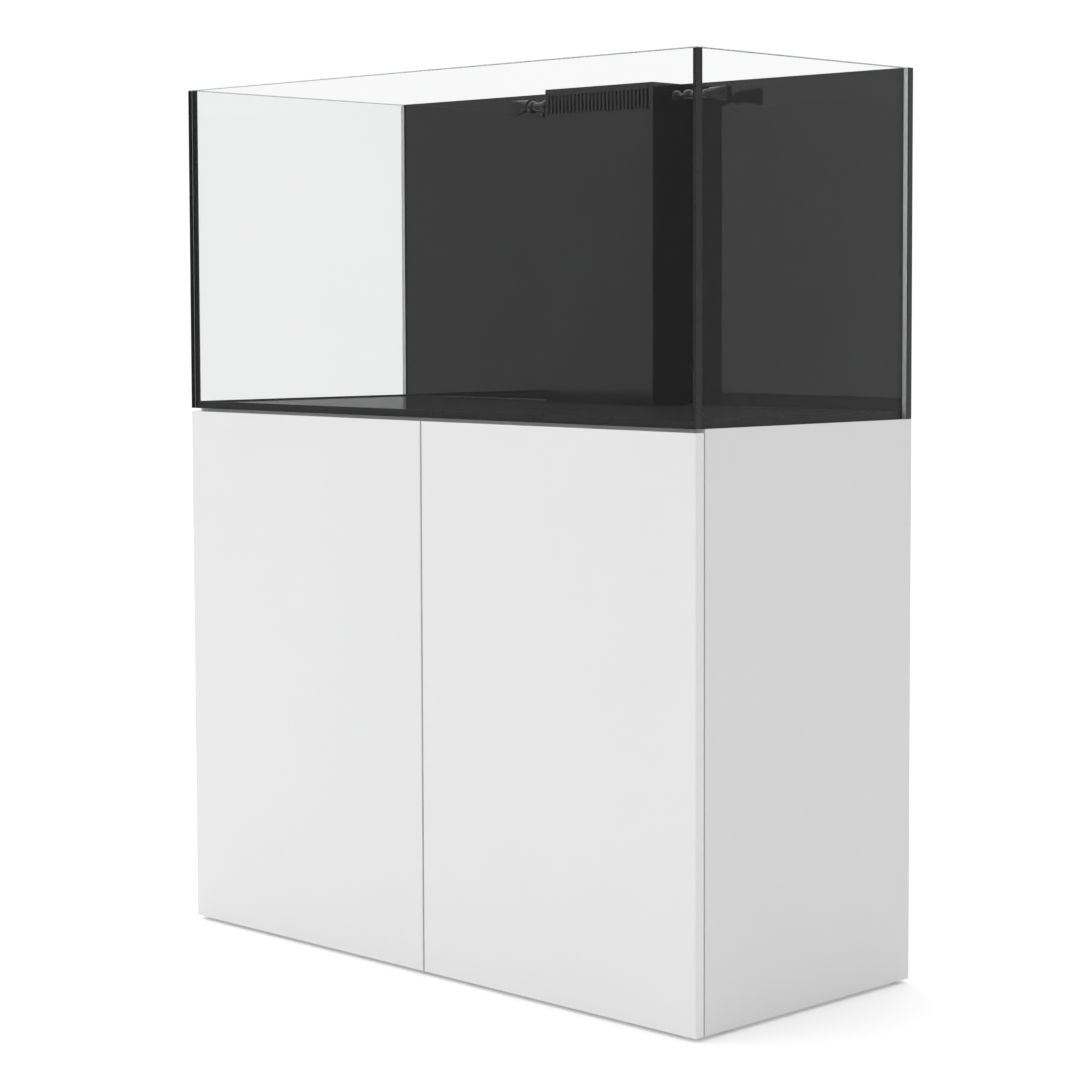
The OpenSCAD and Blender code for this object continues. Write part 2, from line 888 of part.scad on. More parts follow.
// The four walls and the floor of the sump, apart by the silicone bond
module sump_panes() {
    y = [sump_y0, sump_y1];
    low = sump_z + sump_t;
    wall_low = low + sump_bond;
    inner_x = sump_x - sump_t;
    color("lightcyan", 0.5) {
        block([-sump_x, sump_x], y, [sump_z, low]);
        block([-sump_x, sump_x], [y[0], y[0] + sump_t], [wall_low, sump_top]);
        block([-sump_x, sump_x], [y[1] - sump_t, y[1]], [wall_low, sump_top]);
        for (side = [-1, 1]) on_side(side)
            block([inner_x, sump_x], [y[0] + sump_t + sump_bond, y[1] - sump_t - sump_bond],
                  [wall_low, sump_top]);
    }
}

module sump_seams() {
    y = [sump_y0, sump_y1];
    low = sump_z + sump_t;
    inner_x = sump_x - sump_t;
    color("black") {
        difference() {
            block([-sump_x, sump_x], y, [low, low + sump_bond]);
            block([-inner_x, inner_x], [y[0] + sump_t, y[1] - sump_t], [low - 1, low + 2]);
        }
        for (side = [-1, 1]) on_side(side) {
            block([inner_x, sump_x], [y[0] + sump_t, y[0] + sump_t + sump_bond], [low, sump_top]);
            block([inner_x, sump_x], [y[1] - sump_t - sump_bond, y[1] - sump_t], [low, sump_top]);
        }
    }
}

module sump_baffles() {
    y = [sump_y0 + sump_t, sump_y1 - sump_t];
    low = sump_z + sump_t;
    heights = [230, 215, 240, 215];
    lifts = [0, 0, 35, 0];
    color([0.15, 0.15, 0.16]) for (i = [0 : len(baffle_x) - 1])
        block([baffle_x[i], baffle_x[i] + sump_t], y, [low + lifts[i], low + heights[i] + lifts[i]]);
}

// Shelf across the sump that holds the sock's ring, with an opening for hands
module sock_shelf() {
    y = [sump_y0 + sump_t, sump_y1 - sump_t];
    color([0.15, 0.15, 0.16]) difference() {
        block([-sump_x + sump_t, baffle_x[0] - 38], y, [sock_top - shelf_t, sock_top]);
        translate([sock_x, sock_y, sock_top - shelf_t - 1]) cylinder(h = shelf_t + 2, r = sock_r + 2.5);
        block([-sump_x + sump_t + 25, baffle_x[0] - 60], [y[0] + 40, sock_y - 90],
              [sock_top - shelf_t - 1, sock_top + 1]);
    }
}

module sock_ring() {
    color("white") translate([sock_x, sock_y, sock_top]) difference() {
        union() {
            cylinder(h = 5, r = sock_r + 9);
            translate([0, 0, -14]) cylinder(h = 15, r = sock_r + 2);
        }
        translate([0, 0, -15]) cylinder(h = 30, r = sock_r - 1);
    }
}

module filter_sock() {
    length = 210;
    color("ivory") translate([sock_x, sock_y, sock_top - 14 - length]) difference() {
        cylinder(h = length, r = sock_r);
        translate([0, 0, 3]) cylinder(h = length, r = sock_r - 3);
    }
}

module pump_housing() {
    leg = 10;
    outlet_low = pump_low + 60;
    gland_z = pump_axis_z + 20;
    color([0.12, 0.13, 0.15]) translate([pump_x, pump_y, 0]) difference() {
        union() {
            rod([0, -78, pump_axis_z], [0, 34, pump_axis_z], pump_r);
            rod([0, -92, pump_axis_z], [0, -78, pump_axis_z], pump_r - 8);
            rod([0, -100, gland_z], [0, -90, gland_z], 7);
            translate([0, 0, outlet_low]) cylinder(h = pump_low + 135 - outlet_low, r = return_r + 4);
            for (x = [-36, 36 - leg]) block([x, x + leg], [-74, 30], [sump_z + sump_t, pump_axis_z]);
            for (i = [0 : 4]) rod([0, -70 + i * 16, pump_axis_z], [0, -66 + i * 16, pump_axis_z], pump_r + 2);
        }
        rod([0, 6, pump_axis_z], [0, 30, pump_axis_z], 30);
        rod([0, 29, pump_axis_z], [0, 35, pump_axis_z], 14);
        rod([0, 18, pump_axis_z], [0, 4, pump_axis_z + 38], 6);
        translate([0, 0, pump_low + 117]) cylinder(h = 30, r = return_r + 0.05);
        translate([0, 0, pump_low + 80]) cylinder(h = 60, r = return_r - pipe_wall);
        rod([0, -10, pump_axis_z], [0, 20, pump_axis_z], 2.55);
        rod([0, -101, gland_z], [0, -84, gland_z], 3.6);
    }
}

module pump_impeller() {
    blades = 6;
    color("silver") translate([pump_x, pump_y, 0]) {
        rod([0, -8, pump_axis_z], [0, 10, pump_axis_z], 2.5);
        rod([0, 10, pump_axis_z], [0, 13, pump_axis_z], 26);
        for (i = [0 : blades - 1])
            translate([0, 13, pump_axis_z]) rotate([0, i * 360 / blades, 0]) translate([4, -eps, -1])
                cube([21, 12, 2]);
        rod([0, 12, pump_axis_z], [0, 26, pump_axis_z], 6);
    }
}

front_pane();
back_pane();
left_pane();
right_pane();
bottom_pane();
front_seams();
rear_seams();
floor_seam();
overflow_box();
weir_comb();
drain_standpipe();
emergency_standpipe();
return_riser();
bulkheads();
bulkhead_gaskets();
bulkhead_nuts();
left_nozzle_base();
left_nozzle_link();
left_nozzle_tip();
right_nozzle_base();
right_nozzle_link();
right_nozzle_tip();
left_side_panel();
right_side_panel();
top_panel();
bottom_panel();
back_panel();
front_rail();
centre_post();
cam_locks();
cable_grommets();
floor_glides();
door_bumpers();
left_door();
right_door();
left_hinge_cups();
right_hinge_cups();
left_hinge_pins();
right_hinge_pins();
left_hinge_arms();
right_hinge_arms();
hinge_plates();
hinge_screws();
latch_housings();
left_latch_plunger();
right_latch_plunger();
drain_line();
emergency_line();
return_line();
gate_valve();
valve_knob();
valve_gate();
sump_panes();
sump_seams();
sump_baffles();
sock_shelf();
sock_ring();
filter_sock();
pump_housing();
pump_impeller();
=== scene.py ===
"""Looks of the rimless aquarium on its white two-door cabinet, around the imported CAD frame.

The pieces keep their CAD nodes' shapes: edges are broken, faces of glass and silicone move by a
hair, and screws and beads are added. Only the sock is drawn anew, as a sewn felt bag, and the
hinge pins stay CAD nodes. The materials are procedural. Lengths are in metres, or in mm where a
name or a comment says so.
"""
import json
import math

import bmesh
import bpy
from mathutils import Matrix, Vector, noise


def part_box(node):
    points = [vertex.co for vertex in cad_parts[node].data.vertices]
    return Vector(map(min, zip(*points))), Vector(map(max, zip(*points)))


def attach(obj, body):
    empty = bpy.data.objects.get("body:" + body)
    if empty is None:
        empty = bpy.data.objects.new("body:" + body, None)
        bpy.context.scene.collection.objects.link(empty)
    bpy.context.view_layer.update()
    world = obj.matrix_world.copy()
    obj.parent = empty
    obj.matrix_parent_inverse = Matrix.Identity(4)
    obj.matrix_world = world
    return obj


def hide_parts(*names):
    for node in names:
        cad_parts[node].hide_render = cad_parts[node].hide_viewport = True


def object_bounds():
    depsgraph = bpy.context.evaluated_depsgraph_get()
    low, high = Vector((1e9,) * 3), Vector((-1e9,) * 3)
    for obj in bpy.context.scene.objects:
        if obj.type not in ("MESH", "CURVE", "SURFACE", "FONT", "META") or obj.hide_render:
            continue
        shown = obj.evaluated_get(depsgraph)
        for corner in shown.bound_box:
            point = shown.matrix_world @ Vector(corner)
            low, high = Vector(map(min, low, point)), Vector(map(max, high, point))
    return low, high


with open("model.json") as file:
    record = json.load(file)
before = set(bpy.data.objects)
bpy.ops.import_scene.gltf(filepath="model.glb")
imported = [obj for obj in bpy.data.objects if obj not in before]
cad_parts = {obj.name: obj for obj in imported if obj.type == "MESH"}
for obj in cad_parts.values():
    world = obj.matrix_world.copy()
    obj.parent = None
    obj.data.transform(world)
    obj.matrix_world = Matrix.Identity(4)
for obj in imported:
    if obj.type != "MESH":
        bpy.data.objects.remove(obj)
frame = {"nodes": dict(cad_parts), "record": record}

CAD_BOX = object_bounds()
MM = 0.001
RECORD = frame["record"]
BODY_OF = {node: body for body, nodes in RECORD["behaviour"]["bodies"].items() for node in nodes}
SLOT_OF = {part["node"]: part["material_slot"] for part in RECORD["subparts"]}
JOINT = {joint["name"]: joint for joint in RECORD["behaviour"]["joints"]}


# The photograph's camera, solved from its straight edges; angles in degrees
LENS_MM = 91.19
LENS_SHIFT = (-0.1331, -0.0583)
CAMERA_PLACE = (3.2872, -3.1440, 1.0841)
CAMERA_DOWN = 3.649
CAMERA_TURN = 43.133

# Radiance of the studio in each direction
FRONT_LEVEL = 0.62
OVERHEAD_LEVEL = 1.35
RIGHT_DROP = 0.32
BACKDROP_LEVEL = 1.04
RIGHT_REAR_GLOW = 0.55
FLOOR_GLOW = 0.14

FLOOR_RADIUS = 9.0

# How far a glass face lies behind its place in the design, and silicone reaches past its own
GLASS_SKIN = 0.05 * MM
SILICONE_PRESS = 0.12 * MM

RIM_CHAMFER = 1.3 * MM
REAR_CHAMFER = 0.5 * MM

SHARP_DEGREES = 32          # from this angle on an edge is broken
CREASE_DEGREES = 40         # from this angle on an edge stays creased in the shading
FLAT_DEGREES = 0.2          # up to this angle triangles become one face
MERGE_DISTANCE = 0.000002
FACING = 0.9                # from this share of its normal on, a face faces an axis


def object_from(bm, name, materials):
    """Turns a bmesh into an object in the scene, and frees it."""
    mesh = bpy.data.meshes.new(name)
    bm.to_mesh(mesh)
    bm.free()
    for mat in materials:
        mesh.materials.append(mat)
    made = bpy.data.objects.new(name, mesh)
    bpy.context.scene.collection.objects.link(made)
    return made


# ---------- camera and studio ----------

def make_camera():
    """The photograph's viewpoint: right of the front, a little below the rim."""
    data = bpy.data.cameras.new("camera")
    data.lens = LENS_MM
    data.sensor_width = 36.0
    data.shift_x, data.shift_y = LENS_SHIFT
    camera = bpy.data.objects.new("camera", data)
    camera.location = CAMERA_PLACE
    camera.rotation_euler = (math.radians(90 - CAMERA_DOWN), 0, math.radians(CAMERA_TURN))
    bpy.context.scene.collection.objects.link(camera)
    bpy.context.scene.camera = camera


def make_world():
    """Soft white studio, bright overhead and behind the object, dimmer in front and at right."""
    world = bpy.data.worlds.new("studio")
    bpy.context.scene.world = world
    world.use_nodes = True
    tree = world.node_tree
    background = tree.nodes["Background"]
    background.inputs["Color"].default_value = (1.0, 1.0, 1.0, 1.0)
    direction = tree.nodes.new("ShaderNodeTexCoord").outputs["Generated"]

    def part(toward, start, end, low, high):
        """Light from low to high as the cosine of the angle to a direction goes start to end."""
        share = tree.nodes.new("ShaderNodeVectorMath")
        share.operation = "DOT_PRODUCT"
        share.inputs[1].default_value = toward
        tree.links.new(direction, share.inputs[0])
        return ranged(tree, share.outputs["Value"], low, high, start, end)

    def total(a, b):
        """Sum of two sockets."""
        node = tree.nodes.new("ShaderNodeMath")
        tree.links.new(a, node.inputs[0])
        tree.links.new(b, node.inputs[1])
        return node.outputs[0]

    overhead = part((0, 0, 1), 0.1, 1.0, FRONT_LEVEL, OVERHEAD_LEVEL)
    right = part((1, 0, 0), 0.0, 0.9, 0.0, -RIGHT_DROP)
    behind = part((-0.68, 0.73, 0), 0.1, 0.7, 0.0, BACKDROP_LEVEL - FRONT_LEVEL)
    right_rear = part((0.68, 0.73, 0), 0.85, 1.0, 0.0, RIGHT_REAR_GLOW)
    tree.links.new(total(total(overhead, right), total(behind, right_rear)),
                   background.inputs["Strength"])


def make_light(name, size, power, place, aim):
    """Rectangular area light at a place, turned to the point it aims at."""
    data = bpy.data.lights.new(name, "AREA")
    data.shape = "RECTANGLE"
    data.size, data.size_y = size
    data.energy = power
    light = bpy.data.objects.new(name, data)
    light.location = place
    toward = Vector(aim) - Vector(place)
    light.rotation_euler = toward.to_track_quat("-Z", "Y").to_euler()
    bpy.context.scene.collection.objects.link(light)


def make_floor():
    """Round pale floor, wide enough to reach behind the object."""
    bm = bmesh.new()
    bmesh.ops.create_circle(bm, cap_ends=True, radius=FLOOR_RADIUS, segments=96)
    object_from(bm, "floor", [floor_paint()])


# ---------- material building blocks ----------

def principled(name, color, roughness, **sockets):
    """A material with one Principled shader; keyword names are its sockets' names."""
    mat = bpy.data.materials.new(name)
    mat.use_nodes = True
    shader = mat.node_tree.nodes["Principled BSDF"]
    shader.inputs["Base Color"].default_value = (*color, 1.0)
    shader.inputs["Roughness"].default_value = roughness
    for socket, value in sockets.items():
        shader.inputs[socket.replace("_", " ")].default_value = value
    return mat, mat.node_tree, shader


def coordinates(tree, stretch=(1, 1, 1)):
    """Object coordinates, in metres, scaled on each axis."""
    place = tree.nodes.new("ShaderNodeTexCoord")
    mapping = tree.nodes.new("ShaderNodeMapping")
    mapping.inputs["Scale"].default_value = stretch
    tree.links.new(place.outputs["Object"], mapping.inputs["Vector"])
    return mapping.outputs[0]


def noise_map(tree, size, detail=3.0, rough=0.55, stretch=(1, 1, 1)):
    """Noise whose blotches are about size metres across."""
    tex = tree.nodes.new("ShaderNodeTexNoise")
    tex.inputs["Scale"].default_value = 1.0 / size
    tex.inputs["Detail"].default_value = detail
    tex.inputs["Roughness"].default_value = rough
    tree.links.new(coordinates(tree, stretch), tex.inputs["Vector"])
    return tex.outputs["Fac"]


def cell_map(tree, size):
    """Rounded cells about size metres across."""
    tex = tree.nodes.new("ShaderNodeTexVoronoi")
    tex.feature = "SMOOTH_F1"
    tex.inputs["Scale"].default_value = 1.0 / size
    tree.links.new(coordinates(tree), tex.inputs["Vector"])
    return tex.outputs["Distance"]


def ranged(tree, value, low, high, start=0.3, end=0.7):
    """value from start to end becomes low to high."""
    node = tree.nodes.new("ShaderNodeMapRange")
    limits = {"From Min": start, "From Max": end, "To Min": low, "To Max": high}
    for socket, number in limits.items():
        node.inputs[socket].default_value = number
    tree.links.new(value, node.inputs["Value"])
    return node.outputs[0]


def tinted(tree, value, dark, light):
    """Colour that goes from dark to light as value goes from 0 to 1."""
    node = tree.nodes.new("ShaderNodeValToRGB")
    node.color_ramp.elements[0].color = (*dark, 1.0)
    node.color_ramp.elements[1].color = (*light, 1.0)
    tree.links.new(value, node.inputs["Fac"])
    return node.outputs["Color"]


def vary_color(tree, shader, value, dark, light):
    tree.links.new(tinted(tree, ranged(tree, value, 0.0, 1.0), dark, light),
                   shader.inputs["Base Color"])


def vary_roughness(tree, shader, value, low, high):
    tree.links.new(ranged(tree, value, low, high), shader.inputs["Roughness"])


def add_bump(tree, shader, height, depth, strength=1.0):
    """Bumps of the given depth in metres, on top of any bump there already is."""
    node = tree.nodes.new("ShaderNodeBump")
    node.inputs["Distance"].default_value = depth
    node.inputs["Strength"].default_value = strength
    tree.links.new(height, node.inputs["Height"])
    if shader.inputs["Normal"].is_linked:
        tree.links.new(shader.inputs["Normal"].links[0].from_socket, node.inputs["Normal"])
    tree.links.new(node.outputs[0], shader.inputs["Normal"])


def shade(color, factor):
    """The colour made darker or lighter by a factor."""
    return tuple(channel * factor for channel in color)


# ---------- materials ----------

def floor_paint():
    """Matt white that glows a little, so the object's shadow stays faint."""
    mat, tree, shader = principled("studio_floor", (0.9, 0.9, 0.9), 0.85,
                                   Emission_Color=(1.0, 1.0, 1.0, 1.0),
                                   Emission_Strength=FLOOR_GLOW)
    vary_color(tree, shader, noise_map(tree, 0.9), (0.90, 0.90, 0.90), (0.92, 0.92, 0.92))
    return mat


def clear_glass(name, tint):
    """Low-reflection float glass: a trace of colour, and the faint bloom of wiping."""
    mat, tree, shader = principled(name, tint, 0.0, Transmission_Weight=1.0, IOR=1.2)
    vary_color(tree, shader, noise_map(tree, 0.35, detail=2), shade(tint, 0.992), tint)
    vary_roughness(tree, shader, noise_map(tree, 0.06, detail=5, stretch=(1, 1, 0.35)), 0.0, 0.012)
    return mat


def ground_arris():
    """The narrow ground chamfer along a pane's edges."""
    color = (0.60, 0.62, 0.62)
    mat, tree, shader = principled("ground_arris", color, 0.45, Transmission_Weight=0.35, IOR=1.5)
    vary_color(tree, shader, noise_map(tree, 0.004, detail=5),
               shade(color, 0.9), shade(color, 1.08))
    vary_roughness(tree, shader, noise_map(tree, 0.012), 0.35, 0.55)
    add_bump(tree, shader, noise_map(tree, 0.0006), 0.00002)
    return mat


def black_glass():
    """Glass painted black on its back, polished in front."""
    mat, tree, shader = principled("black_glass", (0.004, 0.004, 0.0043), 0.03, IOR=1.5)
    vary_color(tree, shader, noise_map(tree, 0.25, detail=4),
               (0.0035, 0.0035, 0.0038), (0.006, 0.006, 0.0064))
    vary_roughness(tree, shader, noise_map(tree, 0.08, detail=6), 0.02, 0.05)
    return mat


def floor_glass():
    """The dull black floor pane, which only mirrors at a flat angle."""
    mat, tree, shader = principled("floor_glass", (0.03, 0.03, 0.031), 0.06, IOR=1.004)
    vary_color(tree, shader, noise_map(tree, 0.2, detail=5),
               (0.026, 0.026, 0.027), (0.034, 0.034, 0.035))
    vary_roughness(tree, shader, noise_map(tree, 0.06, detail=6), 0.04, 0.09)
    return mat


def black_acrylic():
    """Black cast acrylic: glossy, with the fine haze and hairlines of handling."""
    mat, tree, shader = principled("black_acrylic", (0.006, 0.006, 0.0065), 0.08, IOR=1.49)
    vary_color(tree, shader, noise_map(tree, 0.12, detail=5),
               (0.005, 0.005, 0.0054), (0.009, 0.009, 0.0096))
    vary_roughness(tree, shader, noise_map(tree, 0.02, detail=8, stretch=(1, 1, 4)), 0.06, 0.13)
    return mat


def silicone(name, dark, light):
    """Tooled silicone: satin, gently uneven along the bead."""
    mat, tree, shader = principled(name, light, 0.3, IOR=1.41)
    vary_color(tree, shader, noise_map(tree, 0.03), dark, light)
    vary_roughness(tree, shader, noise_map(tree, 0.015), 0.25, 0.42)
    add_bump(tree, shader, noise_map(tree, 0.02, detail=2, stretch=(2, 2, 0.5)), 0.00008)
    return mat


def lacquer(name, color):
    """Satin sprayed lacquer with its fine orange peel."""
    mat, tree, shader = principled(name, color, 0.32, IOR=1.48)
    vary_color(tree, shader, noise_map(tree, 0.4, detail=4),
               shade(color, 0.992), shade(color, 1.006))
    vary_roughness(tree, shader, noise_map(tree, 0.05, detail=5), 0.29, 0.36)
    add_bump(tree, shader, noise_map(tree, 0.0028, detail=2), 0.00002, 0.5)
    return mat


def melamine(name, color, depth=0.00004):
    """Melamine-faced board with a pearl texture pressed into it."""
    mat, tree, shader = principled(name, color, 0.45, IOR=1.5)
    vary_color(tree, shader, noise_map(tree, 0.3, detail=5),
               shade(color, 0.99), shade(color, 1.008))
    vary_roughness(tree, shader, noise_map(tree, 0.02, detail=4), 0.4, 0.52)
    add_bump(tree, shader, cell_map(tree, 0.0016), depth, 0.6)
    add_bump(tree, shader, noise_map(tree, 0.0006), depth / 2, 0.4)
    return mat


def moulded(name, color, roughness, grain=0.0005, gloss_spread=0.08, depth=0.00003, ior=1.5):
    """Moulded plastic: grain metres across and depth deep, with faint flow marks."""
    mat, tree, shader = principled(name, color, roughness, IOR=ior)
    vary_color(tree, shader, noise_map(tree, 0.02, detail=4),
               shade(color, 0.88), shade(color, 1.12))
    vary_roughness(tree, shader, noise_map(tree, 0.01, detail=5),
                   roughness - gloss_spread, roughness + gloss_spread)
    add_bump(tree, shader, noise_map(tree, grain, detail=2), depth, 0.6)
    add_bump(tree, shader, noise_map(tree, 0.02, detail=1), depth * 2.5, 0.5)
    return mat


def pipe_pvc():
    """Extruded PVC: drawn lines, scuffs and a dull sheen."""
    color = (0.075, 0.079, 0.084)
    mat, tree, shader = principled("dark_pvc", color, 0.42, IOR=1.53)
    vary_color(tree, shader, noise_map(tree, 0.05, detail=6),
               shade(color, 0.85), shade(color, 1.25))
    vary_roughness(tree, shader, noise_map(tree, 0.02, detail=6), 0.34, 0.5)
    add_bump(tree, shader, noise_map(tree, 0.004, detail=3, stretch=(3, 3, 0.15)), 0.00006, 0.5)
    return mat


def rubber(name, color):
    """Dull rubber, a little uneven."""
    mat, tree, shader = principled(name, color, 0.7, IOR=1.5)
    vary_color(tree, shader, noise_map(tree, 0.008, detail=5),
               shade(color, 0.8), shade(color, 1.3))
    vary_roughness(tree, shader, noise_map(tree, 0.006), 0.6, 0.8)
    add_bump(tree, shader, noise_map(tree, 0.0008), 0.00006, 0.6)
    return mat


def clear_rubber():
    """The milky clear bumpers behind the doors."""
    mat, tree, shader = principled("clear_rubber", (0.86, 0.87, 0.88), 0.25,
                                   Transmission_Weight=0.7, IOR=1.45)
    vary_roughness(tree, shader, noise_map(tree, 0.002), 0.2, 0.35)
    vary_color(tree, shader, noise_map(tree, 0.003), (0.82, 0.83, 0.85), (0.88, 0.89, 0.9))
    return mat


def plated_steel(name, color, roughness, grain_stretch):
    """Plated steel with drawn grain and small scratches."""
    mat, tree, shader = principled(name, color, roughness, Metallic=1.0)
    grain = noise_map(tree, 0.0009, detail=6, stretch=grain_stretch)
    vary_color(tree, shader, noise_map(tree, 0.01, detail=4),
               shade(color, 0.86), shade(color, 1.06))
    vary_roughness(tree, shader, grain, roughness - 0.07, roughness + 0.1)
    add_bump(tree, shader, grain, 0.00002, 0.5)
    return mat


def felt():
    """Needled polyester felt: soft, fibrous, a little uneven in tone."""
    color = (0.80, 0.785, 0.74)
    mat, tree, shader = principled("sock_felt", color, 0.95, Sheen_Weight=0.35,
                                   Sheen_Roughness=0.5)
    vary_color(tree, shader, noise_map(tree, 0.006, detail=8, rough=0.7),
               shade(color, 0.86), shade(color, 1.06))
    vary_roughness(tree, shader, noise_map(tree, 0.003), 0.88, 1.0)
    add_bump(tree, shader, noise_map(tree, 0.0012, detail=8, rough=0.75), 0.0006, 0.8)
    add_bump(tree, shader, noise_map(tree, 0.012, detail=3), 0.0012, 0.5)
    return mat


def thread():
    """Polyester sewing thread: bright, with the turn of its plies."""
    color = (0.86, 0.85, 0.82)
    mat, tree, shader = principled("sock_thread", color, 0.6, Sheen_Weight=0.2)
    vary_color(tree, shader, noise_map(tree, 0.0008, detail=4), shade(color, 0.8), color)
    vary_roughness(tree, shader, noise_map(tree, 0.001), 0.5, 0.75)
    add_bump(tree, shader, noise_map(tree, 0.0004, stretch=(1, 1, 3)), 0.0001, 0.7)
    return mat


MATERIALS = {
    "clear_glass": clear_glass("clear_glass", (0.914, 0.918, 0.916)),
    "sump_glass": clear_glass("sump_glass", (0.90, 0.955, 0.94)),
    "black_glass": black_glass(),
    "black_acrylic": black_acrylic(),
    "silicone": silicone("silicone", (0.004, 0.004, 0.004), (0.008, 0.008, 0.008)),
    "dark_pvc": pipe_pvc(),
    "moulded_black": moulded("moulded_black", (0.022, 0.022, 0.023), 0.48),
    "nozzle_plastic": moulded("nozzle_plastic", (0.003, 0.003, 0.0032), 0.17, grain=0.0006,
                              gloss_spread=0.04, depth=0.000004, ior=1.33),
    "gasket_rubber": rubber("gasket_rubber", (0.016, 0.016, 0.016)),
    # The carcass white sits below the doors' white as painted shade: it darkens the right side
    # panel beyond what the studio light does
    "white_laminate": melamine("white_laminate", (0.692, 0.692, 0.694)),
    "back_board": melamine("back_board", (0.79, 0.79, 0.788), 0.00007),
    "door_lacquer": lacquer("door_lacquer", (0.748, 0.748, 0.750)),
    "nickel_steel": plated_steel("nickel_steel", (0.62, 0.60, 0.565), 0.26, (1, 0.08, 1)),
    "bright_steel": plated_steel("bright_steel", (0.58, 0.58, 0.585), 0.2, (1, 1, 0.1)),
    "grey_plastic": moulded("grey_plastic", (0.50, 0.51, 0.52), 0.42),
    "clear_rubber": clear_rubber(),
    "red_plastic": moulded("red_plastic", (0.36, 0.018, 0.014), 0.3, grain=0.0004),
    "white_plastic": moulded("white_plastic", (0.76, 0.76, 0.75), 0.36),
    "sock_felt": felt(),
}
ARRIS = ground_arris()
FLOOR_GLASS = floor_glass()
THREAD = thread()


# ---------- pieces made from the CAD nodes ----------

def clean_copy(node):
    """bmesh of a CAD node with its triangles merged back into flat faces."""
    bm = bmesh.new()
    bm.from_mesh(frame["nodes"][node].data)
    bmesh.ops.remove_doubles(bm, verts=bm.verts, dist=MERGE_DISTANCE)
    bmesh.ops.dissolve_limit(bm, angle_limit=math.radians(FLAT_DEGREES), verts=bm.verts,
                             edges=bm.edges)
    return bm


def push_flat_faces(bm, amount, rearward_only=False):
    """Moves every flat face of a square-cut shape outwards, or inwards if amount is negative.

    With rearward_only no face moves towards the front.
    """
    bmesh.ops.recalc_face_normals(bm, faces=bm.faces)
    bm.normal_update()
    pushes = []
    for v in bm.verts:
        push = Vector()
        for face in v.link_faces:
            for axis in range(3):
                if abs(face.normal[axis]) > FACING:
                    push[axis] = math.copysign(1.0, face.normal[axis]) * amount
        if rearward_only:
            push.y = max(push.y, 0.0)
        pushes.append(push)
    for v, push in zip(bm.verts, pushes):
        v.co += push


def break_edges(bm, width, segments=2, material=-1):
    """Chamfers every sharp edge with one segment, or rounds it with more."""
    sharp = [e for e in bm.edges if len(e.link_faces) == 2
             and e.calc_face_angle(0) > math.radians(SHARP_DEGREES)]
    bmesh.ops.bevel(bm, geom=sharp, offset=width, offset_type="OFFSET", segments=segments,
                    profile=0.5, affect="EDGES", clamp_overlap=True, loop_slide=True,
                    material=material)


def grind(bm, edges, width):
    """Chamfers the edges in the pane's second material, the ground one."""
    bmesh.ops.bevel(bm, geom=edges, offset=width, offset_type="OFFSET", segments=1,
                    profile=0.5, affect="EDGES", material=1)


def stand_for(node, bm, name, materials=None):
    """Makes the bmesh a piece that rides with that CAD node's body and shades smoothly, and hides
    the node.
    """
    piece = object_from(bm, name, materials or [MATERIALS[SLOT_OF[node]]])
    piece.data.polygons.foreach_set("use_smooth", [True] * len(piece.data.polygons))
    piece.data.set_sharp_from_angle(angle=math.radians(CREASE_DEGREES))
    weights = piece.modifiers.new("even_normals", "WEIGHTED_NORMAL")
    weights.keep_sharp = True
    weights.weight = 100
    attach(piece, BODY_OF[node])
    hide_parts(node)


def finished(node, width_mm, segments=2, details=None, materials=None):
    """The CAD node's own shape with its edges broken; details(bm, low, high) adds to it."""
    bm = clean_copy(node)
    break_edges(bm, width_mm * MM, segments)
    if details:
        details(bm, *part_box(node))
    stand_for(node, bm, node + "_finished", materials)


def glass_pane(node):
    """An upright pane a hair smaller than its place, with a ground rim.

    The front pane's ends show the black bond; the side panes' rear ends are ground.
    """
    bm = clean_copy(node)
    push_flat_faces(bm, -GLASS_SKIN)
    rim = max(v.co.z for v in bm.verts) - GLASS_SKIN
    rear = max(v.co.y for v in bm.verts) - GLASS_SKIN
    front = node == "front_pane"
    grind(bm, [e for e in bm.edges if all(v.co.z > rim for v in e.verts)], RIM_CHAMFER)
    if front:
        upright = [e for e in bm.edges if abs(e.verts[0].co.z - e.verts[1].co.z) > 0.1
                   and all(v.co.y > rear for v in e.verts)]
        grind(bm, upright, REAR_CHAMFER)
    bm.normal_update()
    for face in bm.faces:
        if front and abs(face.normal.x) > FACING:
            face.material_index = 2
        elif not front and face.normal.y > FACING:
            face.material_index = 1
    stand_for(node, bm, node + "_glass",
              [MATERIALS[SLOT_OF[node]], ARRIS, MATERIALS["silicone"]])


def silicone_seam(node):
    """Silicone pressed a hair into the glass, and kept a hair inside the whole object's box."""
    low, high = CAD_BOX
    bm = clean_copy(node)
    push_flat_faces(bm, SILICONE_PRESS, rearward_only=node == "rear_seams")
    for v in bm.verts:
        v.co = [min(max(v.co[axis], low[axis] + SILICONE_PRESS), high[axis] - SILICONE_PRESS)
                for axis in range(3)]
    stand_for(node, bm, node + "_laid")


def sump_glass():
    """The sump's panes, a hair apart from the board below, with their edges just broken."""
    bm = clean_copy("sump_panes")
    push_flat_faces(bm, -GLASS_SKIN)
    break_edges(bm, 0.4 * MM, segments=1, material=1)
    stand_for("sump_panes", bm, "sump_panes_glass", [MATERIALS["sump_glass"], ARRIS])


# ---------- small parts added to the pieces ----------

